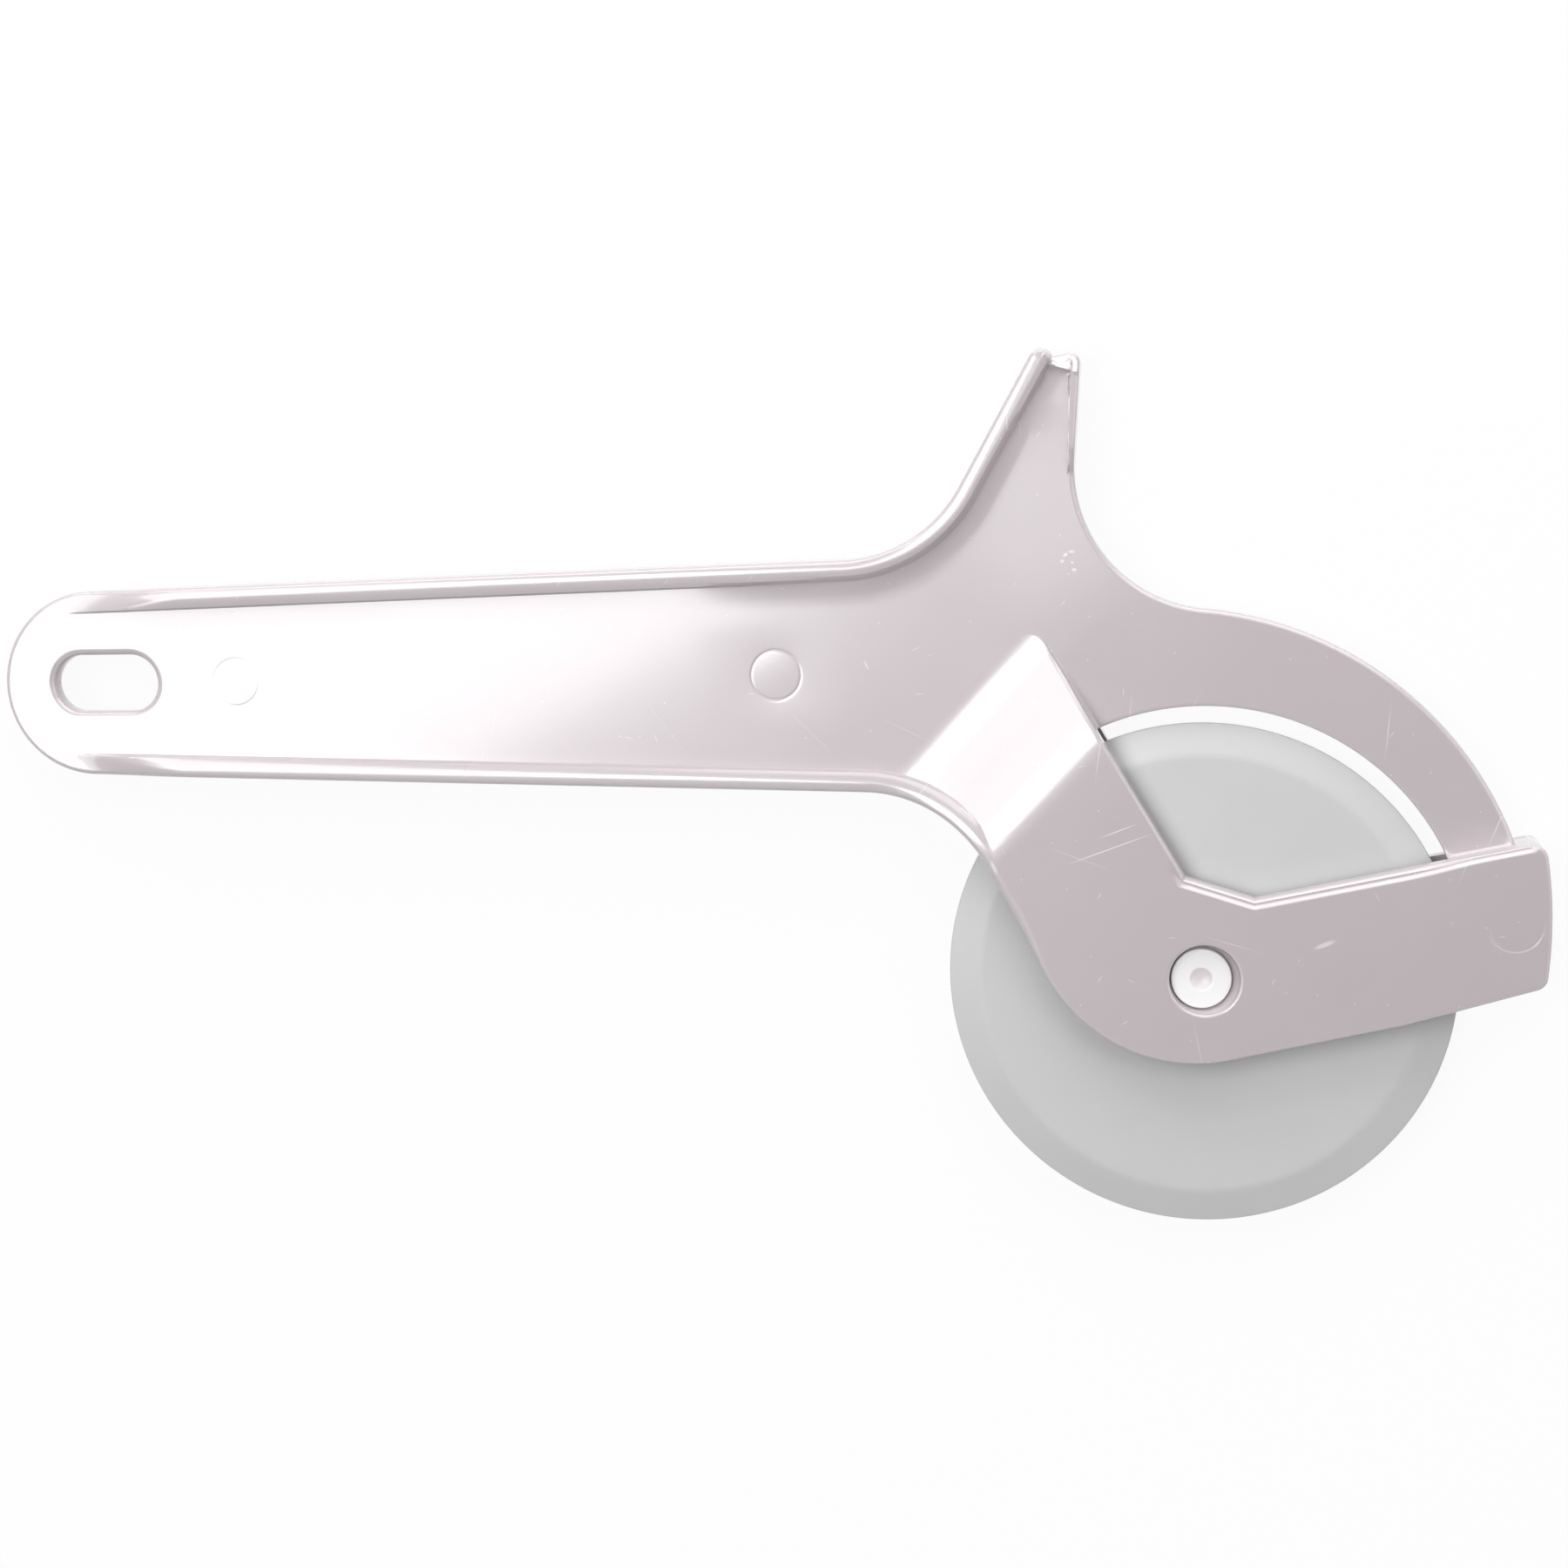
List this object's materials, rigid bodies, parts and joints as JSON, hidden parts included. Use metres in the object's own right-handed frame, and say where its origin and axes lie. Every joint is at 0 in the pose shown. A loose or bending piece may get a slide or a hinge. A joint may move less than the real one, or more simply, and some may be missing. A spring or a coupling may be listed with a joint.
{
  "type": "pizza wheel",
  "caption": "Moulded plastic pizza wheel: flat grip with beaded edges and a hanging slot, thumb horn, curved wheel guard and a forked arm that holds a free-turning cutting wheel.",
  "frame": {"origin": "under the centre of the bounding box, in the plane of the rear fork arm's outer face that the part lies on", "axes": "+X along the grip from its hanging slot to the fork's nose, +Y from the cutting wheel up to the thumb horn, +Z through the thickness, out of the front fork arm and along the wheel's axis"},
  "size_m": [0.203, 0.1128, 0.0104],
  "materials": {
    "handle_shell": "glossy injection moulding, pearly pinkish white",
    "wheel_plastic": "satin injection moulding, neutral light grey",
    "axle_plastic": "glossy injection moulding, near white"
  },
  "bodies": {
    "handle": {"handle": "handle_shell", "axle_pin": "axle_plastic", "axle_sleeve": "axle_plastic"},
    "wheel": {"cutting_wheel": "wheel_plastic"}
  },
  "joints": [
    {"name": "wheel_spin", "type": "hinge", "parent": "handle", "child": "wheel", "pos_m": [0.058, -0.0239, 0.0052], "axis": [0, 0, 1], "continuous": true}
  ]
}
